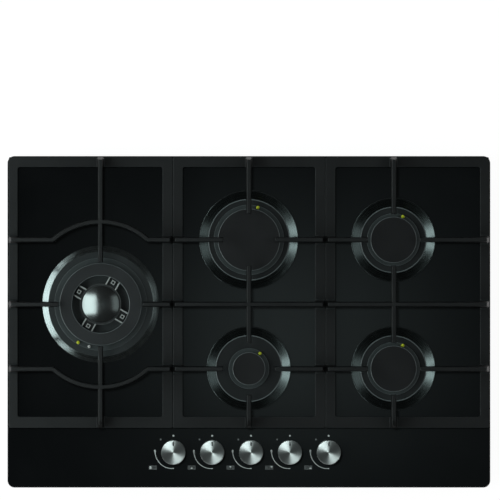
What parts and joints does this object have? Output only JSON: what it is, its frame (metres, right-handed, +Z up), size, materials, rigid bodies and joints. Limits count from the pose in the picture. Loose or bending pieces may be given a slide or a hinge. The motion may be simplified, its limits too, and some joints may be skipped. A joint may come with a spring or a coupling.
{
  "type": "gas cooktop",
  "caption": "Built-in gas cooktop: black glass plate, burners with caps, raised cast-iron pan supports, push-and-turn metal knobs and gas valves in a steel tray.",
  "frame": {"origin": "middle of the worktop seat plane, under the foam seal", "axes": "+X the cook's right, +Y the back, +Z up"},
  "size_m": [0.75, 0.515, 0.098],
  "materials": {
    "glass": "black glass, polished",
    "seal": "closed-cell foam",
    "rubber": "matte",
    "zinc_steel": "zinc-plated sheet, satin",
    "screw_steel": "zinc-plated",
    "bowl": "dark enamel, brushed bevel",
    "cast_alloy": "die-cast, dark",
    "crown_alloy": "machined casting",
    "cap_enamel": "matt black enamel",
    "dome": "polished",
    "cast_iron": "black enamelled casting",
    "knob_metal": "spun face",
    "valve_brass": "machined",
    "steel": "drawn",
    "pipe": "drawn tube",
    "ceramic": "glazed white",
    "probe": "heat-tinted tip",
    "box_plastic": "moulded"
  },
  "bodies": {
    "hob": {"glass_top": "glass", "worktop_seal": "seal", "tray": "zinc_steel", "burner_rails": "zinc_steel", "screws": "screw_steel", "bowl_wok": "bowl", "bowl_rapid": "bowl", "bowls_semi": "bowl", "bowl_aux": "bowl", "body_wok": "cast_alloy", "body_rapid": "cast_alloy", "bodies_semi": "cast_alloy", "body_aux": "cast_alloy", "spark_plugs": "ceramic", "thermocouples": "probe", "valve_bodies": "cast_alloy", "knob_grommets": "rubber", "gas_rail": "steel", "inlet_elbow": "valve_brass", "gas_pipes": "pipe", "injectors": "valve_brass", "ignition_unit": "box_plastic", "cable_gland": "rubber"},
    "grate_left_body": {"grate_left": "cast_iron", "feet_left": "rubber"},
    "grate_centre_body": {"grate_centre": "cast_iron", "feet_centre": "rubber"},
    "grate_right_body": {"grate_right": "cast_iron", "feet_right": "rubber"},
    "crown_wok_body": {"crown_wok": "crown_alloy"},
    "cap_wok_ring_body": {"cap_wok_ring": "cap_enamel"},
    "cap_wok_dome_body": {"cap_wok_dome": "dome"},
    "crown_rapid_body": {"crown_rapid": "crown_alloy"},
    "cap_rapid_body": {"cap_rapid": "cap_enamel"},
    "crown_semi_rear_body": {"crown_semi_rear": "crown_alloy"},
    "cap_semi_rear_body": {"cap_semi_rear": "cap_enamel"},
    "crown_semi_front_body": {"crown_semi_front": "crown_alloy"},
    "cap_semi_front_body": {"cap_semi_front": "cap_enamel"},
    "crown_aux_body": {"crown_aux": "crown_alloy"},
    "cap_aux_body": {"cap_aux": "cap_enamel"},
    "valve_plug_wok_body": {"valve_plug_wok": "valve_brass", "spring_wok": "steel"},
    "knob_wok_body": {"knob_wok": "knob_metal", "stem_wok": "steel"},
    "valve_plug_aux_body": {"valve_plug_aux": "valve_brass", "spring_aux": "steel"},
    "knob_aux_body": {"knob_aux": "knob_metal", "stem_aux": "steel"},
    "valve_plug_rapid_body": {"valve_plug_rapid": "valve_brass", "spring_rapid": "steel"},
    "knob_rapid_body": {"knob_rapid": "knob_metal", "stem_rapid": "steel"},
    "valve_plug_semi_rear_body": {"valve_plug_semi_rear": "valve_brass", "spring_semi_rear": "steel"},
    "knob_semi_rear_body": {"knob_semi_rear": "knob_metal", "stem_semi_rear": "steel"},
    "valve_plug_semi_front_body": {"valve_plug_semi_front": "valve_brass", "spring_semi_front": "steel"},
    "knob_semi_front_body": {"knob_semi_front": "knob_metal", "stem_semi_front": "steel"}
  },
  "joints": [
    {"name": "grate_left_lift", "type": "slide", "parent": "hob", "child": "grate_left_body", "axis": [0, 0, 1], "range_m": [0, 0.06]},
    {"name": "grate_centre_lift", "type": "slide", "parent": "hob", "child": "grate_centre_body", "axis": [0, 0, 1], "range_m": [0, 0.06]},
    {"name": "grate_right_lift", "type": "slide", "parent": "hob", "child": "grate_right_body", "axis": [0, 0, 1], "range_m": [0, 0.06]},
    {"name": "crown_wok_lift", "type": "slide", "parent": "hob", "child": "crown_wok_body", "axis": [0, 0, 1], "range_m": [0, 0.02]},
    {"name": "cap_wok_ring_lift", "type": "slide", "parent": "crown_wok_body", "child": "cap_wok_ring_body", "axis": [0, 0, 1], "range_m": [0, 0.015]},
    {"name": "cap_wok_dome_lift", "type": "slide", "parent": "crown_wok_body", "child": "cap_wok_dome_body", "axis": [0, 0, 1], "range_m": [0, 0.015]},
    {"name": "crown_rapid_lift", "type": "slide", "parent": "hob", "child": "crown_rapid_body", "axis": [0, 0, 1], "range_m": [0, 0.008]},
    {"name": "cap_rapid_lift", "type": "slide", "parent": "crown_rapid_body", "child": "cap_rapid_body", "axis": [0, 0, 1], "range_m": [0, 0.004]},
    {"name": "crown_semi_rear_lift", "type": "slide", "parent": "hob", "child": "crown_semi_rear_body", "axis": [0, 0, 1], "range_m": [0, 0.02]},
    {"name": "cap_semi_rear_lift", "type": "slide", "parent": "crown_semi_rear_body", "child": "cap_semi_rear_body", "axis": [0, 0, 1], "range_m": [0, 0.015]},
    {"name": "crown_semi_front_lift", "type": "slide", "parent": "hob", "child": "crown_semi_front_body", "axis": [0, 0, 1], "range_m": [0, 0.02]},
    {"name": "cap_semi_front_lift", "type": "slide", "parent": "crown_semi_front_body", "child": "cap_semi_front_body", "axis": [0, 0, 1], "range_m": [0, 0.015]},
    {"name": "crown_aux_lift", "type": "slide", "parent": "hob", "child": "crown_aux_body", "axis": [0, 0, 1], "range_m": [0, 0.02]},
    {"name": "cap_aux_lift", "type": "slide", "parent": "crown_aux_body", "child": "cap_aux_body", "axis": [0, 0, 1], "range_m": [0, 0.015]},
    {"name": "knob_wok_turn", "type": "hinge", "parent": "hob", "child": "valve_plug_wok_body", "pos_m": [-0.1173, -0.2026, 0], "axis": [0, 0, 1], "range_deg": [0, 182]},
    {"name": "knob_wok_push", "type": "slide", "parent": "valve_plug_wok_body", "child": "knob_wok_body", "axis": [0, 0, -1], "range_m": [0, 0.003], "stiffness_N_per_m": 1500, "springref_m": -0.004, "deforming": ["spring_wok"]},
    {"name": "knob_aux_turn", "type": "hinge", "parent": "hob", "child": "valve_plug_aux_body", "pos_m": [-0.057, -0.2026, 0], "axis": [0, 0, 1], "range_deg": [0, 182]},
    {"name": "knob_aux_push", "type": "slide", "parent": "valve_plug_aux_body", "child": "knob_aux_body", "axis": [0, 0, -1], "range_m": [0, 0.003], "stiffness_N_per_m": 1500, "springref_m": -0.004, "deforming": ["spring_aux"]},
    {"name": "knob_rapid_turn", "type": "hinge", "parent": "hob", "child": "valve_plug_rapid_body", "pos_m": [0.0033, -0.2026, 0], "axis": [0, 0, 1], "range_deg": [0, 182]},
    {"name": "knob_rapid_push", "type": "slide", "parent": "valve_plug_rapid_body", "child": "knob_rapid_body", "axis": [0, 0, -1], "range_m": [0, 0.003], "stiffness_N_per_m": 1500, "springref_m": -0.004, "deforming": ["spring_rapid"]},
    {"name": "knob_semi_rear_turn", "type": "hinge", "parent": "hob", "child": "valve_plug_semi_rear_body", "pos_m": [0.0636, -0.2026, 0], "axis": [0, 0, 1], "range_deg": [0, 182]},
    {"name": "knob_semi_rear_push", "type": "slide", "parent": "valve_plug_semi_rear_body", "child": "knob_semi_rear_body", "axis": [0, 0, -1], "range_m": [0, 0.003], "stiffness_N_per_m": 1500, "springref_m": -0.004, "deforming": ["spring_semi_rear"]},
    {"name": "knob_semi_front_turn", "type": "hinge", "parent": "hob", "child": "valve_plug_semi_front_body", "pos_m": [0.1239, -0.2026, 0], "axis": [0, 0, 1], "range_deg": [0, 182]},
    {"name": "knob_semi_front_push", "type": "slide", "parent": "valve_plug_semi_front_body", "child": "knob_semi_front_body", "axis": [0, 0, -1], "range_m": [0, 0.003], "stiffness_N_per_m": 1500, "springref_m": -0.004, "deforming": ["spring_semi_front"]}
  ]
}
